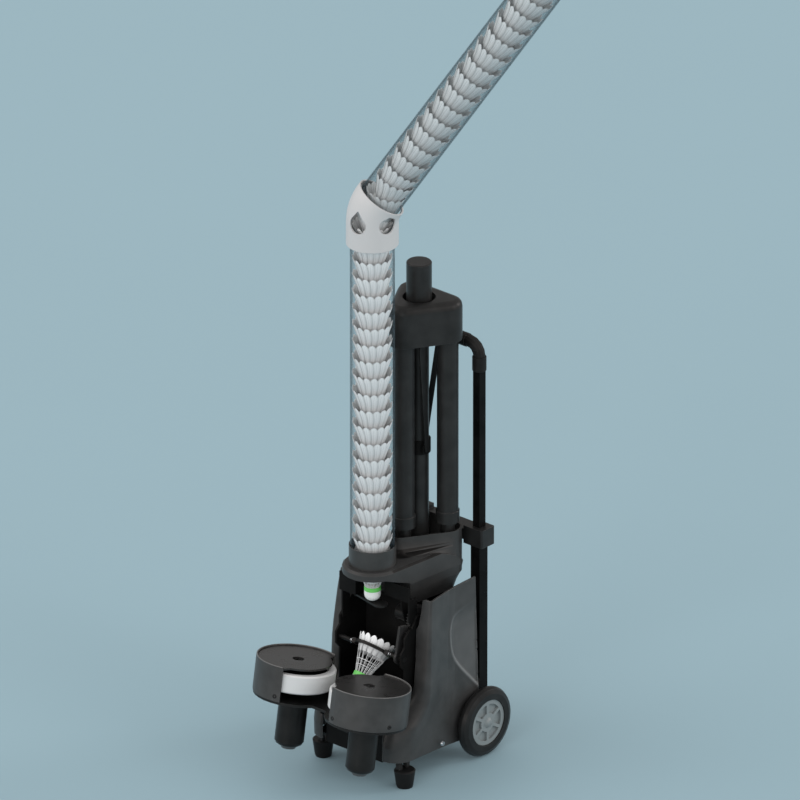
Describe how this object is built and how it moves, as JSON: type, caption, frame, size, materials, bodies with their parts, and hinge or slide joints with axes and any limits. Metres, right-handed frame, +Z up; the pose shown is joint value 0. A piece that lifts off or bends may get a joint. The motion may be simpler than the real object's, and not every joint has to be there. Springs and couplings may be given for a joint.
{
  "type": "shuttlecock machine",
  "caption": "Wheeled feeder that drops shuttlecocks from a bent clear magazine tube into a tilting cradle and throws them between two spinning wheels; carries a folded stand.",
  "frame": {"origin": "on the floor under the middle of the bounding box", "axes": "+Z up, -Y the side the shuttles are thrown from, X across the machine"},
  "size_m": [0.4376, 0.3992, 1.4643],
  "materials": {
    "axle": "ground steel",
    "base_plate": "black powder coat",
    "battery_pack": "black powder coat",
    "cavity_liner": "matt black plastic",
    "cradle_sector": "dark grey acetal",
    "elbow": "satin white plastic",
    "elbow_shuttle": "white feathers and cork",
    "feed_bracket": "matt black plastic",
    "feed_cradle": "matt black plastic",
    "feed_gear": "dark grey acetal",
    "feed_motor": "black powder coat",
    "front_lower_panel": "matt black plastic",
    "gate_bracket": "matt black plastic",
    "handle_clamp_bar": "satin dark grey moulded plastic",
    "handle_grip": "matt black rubber",
    "handle_lower_mount": "matt black plastic",
    "head_bracket": "black anodised",
    "held_shuttle": "white feathers and cork",
    "left_flywheel_hub": "matt black plastic",
    "left_flywheel_tyre": "satin white plastic",
    "left_foot": "matt black rubber",
    "left_hub": "satin light grey plastic",
    "left_inner_tube": "black anodised",
    "left_inner_wall": "matt black plastic",
    "left_lid": "satin dark grey moulded plastic",
    "left_motor": "black powder coat",
    "left_outer_tube": "black anodised",
    "left_shroud": "satin dark grey moulded plastic",
    "left_side_shell": "satin dark grey moulded plastic",
    "left_tyre": "matt black rubber",
    "lower_shuttle_stack": "white feathers and cork",
    "lower_tube": "clear polycarbonate",
    "rear_cover": "matt black plastic",
    "release_gate": "black powder coat",
    "right_flywheel_hub": "matt black plastic",
    "right_flywheel_tyre": "satin white plastic",
    "right_foot": "matt black rubber",
    "right_hub": "satin light grey plastic",
    "right_inner_tube": "black anodised",
    "right_inner_wall": "matt black plastic",
    "right_lid": "satin dark grey moulded plastic",
    "right_motor": "black powder coat",
    "right_outer_tube": "black anodised",
    "right_shroud": "satin dark grey moulded plastic",
    "right_side_shell": "satin dark grey moulded plastic",
    "right_tyre": "matt black rubber",
    "stand_front_leg": "black anodised",
    "stand_front_strut": "black anodised",
    "stand_head": "satin dark grey moulded plastic",
    "stand_left_leg": "black anodised",
    "stand_left_strut": "black anodised",
    "stand_mast": "black anodised",
    "stand_right_leg": "black anodised",
    "stand_right_strut": "black anodised",
    "stand_slider": "matt black plastic",
    "top_cap": "satin dark grey moulded plastic",
    "tube_socket": "satin dark grey moulded plastic",
    "upper_shuttle_stack": "white feathers and cork",
    "upper_tube": "clear polycarbonate"
  },
  "bodies": {
    "machine": {"axle": "axle", "base_plate": "base_plate", "battery_pack": "battery_pack", "cavity_liner": "cavity_liner", "feed_bracket": "feed_bracket", "feed_motor": "feed_motor", "front_lower_panel": "front_lower_panel", "gate_bracket": "gate_bracket", "handle_clamp_bar": "handle_clamp_bar", "handle_lower_mount": "handle_lower_mount", "head_bracket": "head_bracket", "left_foot": "left_foot", "left_inner_wall": "left_inner_wall", "left_lid": "left_lid", "left_motor": "left_motor", "left_outer_tube": "left_outer_tube", "left_shroud": "left_shroud", "left_side_shell": "left_side_shell", "lower_shuttle_stack": "lower_shuttle_stack", "lower_tube": "lower_tube", "rear_cover": "rear_cover", "right_foot": "right_foot", "right_inner_wall": "right_inner_wall", "right_lid": "right_lid", "right_motor": "right_motor", "right_outer_tube": "right_outer_tube", "right_shroud": "right_shroud", "right_side_shell": "right_side_shell", "top_cap": "top_cap", "tube_socket": "tube_socket"},
    "magazine": {"elbow": "elbow", "upper_tube": "upper_tube", "upper_shuttle_stack": "upper_shuttle_stack", "elbow_shuttle": "elbow_shuttle"},
    "left_thrower": {"left_flywheel_tyre": "left_flywheel_tyre", "left_flywheel_hub": "left_flywheel_hub"},
    "right_thrower": {"right_flywheel_tyre": "right_flywheel_tyre", "right_flywheel_hub": "right_flywheel_hub"},
    "cradle": {"feed_cradle": "feed_cradle", "cradle_sector": "cradle_sector", "held_shuttle": "held_shuttle"},
    "feed_pinion": {"feed_gear": "feed_gear"},
    "gate": {"release_gate": "release_gate"},
    "handle": {"left_inner_tube": "left_inner_tube", "right_inner_tube": "right_inner_tube", "handle_grip": "handle_grip"},
    "left_wheel": {"left_tyre": "left_tyre", "left_hub": "left_hub"},
    "right_wheel": {"right_tyre": "right_tyre", "right_hub": "right_hub"},
    "stand": {"stand_front_leg": "stand_front_leg", "stand_front_strut": "stand_front_strut", "stand_head": "stand_head", "stand_left_leg": "stand_left_leg", "stand_left_strut": "stand_left_strut", "stand_mast": "stand_mast", "stand_right_leg": "stand_right_leg", "stand_right_strut": "stand_right_strut", "stand_slider": "stand_slider"}
  },
  "joints": [
    {"name": "magazine_swivel", "type": "hinge", "parent": "machine", "child": "magazine", "pos_m": [-0.07883, -0.03547, 0.912], "axis": [0, 0, 1], "continuous": true},
    {"name": "left_thrower_spin", "type": "hinge", "parent": "machine", "child": "left_thrower", "pos_m": [-0.15283, -0.12547, 0.194], "axis": [0, 0.165, 0.9863], "continuous": true},
    {"name": "right_thrower_spin", "type": "hinge", "parent": "machine", "child": "right_thrower", "pos_m": [-0.00483, -0.12547, 0.194], "axis": [0, 0.165, 0.9863], "continuous": true},
    {"name": "feed_cradle_tilt", "type": "hinge", "parent": "machine", "child": "cradle", "pos_m": [-0.07883, -0.03747, 0.2055], "axis": [1, 0, 0], "range_deg": [-22, 38]},
    {"name": "feed_pinion_turn", "type": "hinge", "parent": "machine", "child": "feed_pinion", "pos_m": [-0.02383, 0.00211, 0.26202], "axis": [1, 0, 0], "range_deg": [-108.67, 63.33]},
    {"name": "release_gate_swing", "type": "hinge", "parent": "machine", "child": "gate", "pos_m": [-0.11883, -0.02847, 0.284], "axis": [0, 0, 1], "range_deg": [-55, 0]},
    {"name": "handle_slide", "type": "slide", "parent": "machine", "child": "handle", "axis": [0, 0, 1], "range_m": [-0.23, 0]},
    {"name": "left_wheel_roll", "type": "hinge", "parent": "machine", "child": "left_wheel", "pos_m": [-0.17883, 0.11353, 0.057], "axis": [1, 0, 0], "continuous": true},
    {"name": "right_wheel_roll", "type": "hinge", "parent": "machine", "child": "right_wheel", "pos_m": [0.02117, 0.11353, 0.057], "axis": [1, 0, 0], "continuous": true},
    {"name": "stand_lift", "type": "slide", "parent": "machine", "child": "stand", "axis": [0, 0, 1], "range_m": [0, 0.09]}
  ],
  "couplings": [
    {"joint": "feed_pinion_turn", "follows": "feed_cradle_tilt", "ratio": -2.8333}
  ]
}
